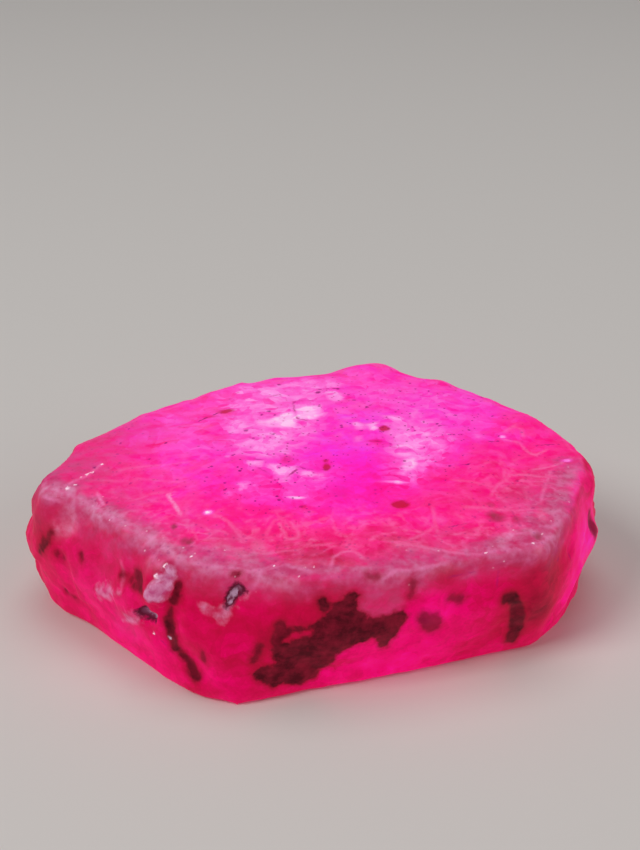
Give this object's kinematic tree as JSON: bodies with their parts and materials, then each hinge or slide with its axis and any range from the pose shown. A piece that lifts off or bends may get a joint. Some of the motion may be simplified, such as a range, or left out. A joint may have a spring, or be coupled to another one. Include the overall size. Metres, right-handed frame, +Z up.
{
  "type": "raw ruby crystal",
  "caption": "Rough, cloudy ruby crystal: a low broken tablet with steep sides, a frosty rounded shoulder and dark flecks. Rests on its flat underside as a display specimen.",
  "frame": {"origin": "on the underside plane, under the middle of the stone's length and depth", "axes": "+X along the length of the stone, to the right seen from the front; +Y from the long front face to the back; +Z up from the underside"},
  "size_m": [0.034, 0.0256, 0.0102],
  "materials": {
    "raw_ruby": "rough natural corundum: cloudy, glassy on the broken faces, frosted on the edges"
  },
  "bodies": {
    "root": {"ruby_crystal": "raw_ruby"}
  },
  "joints": []
}
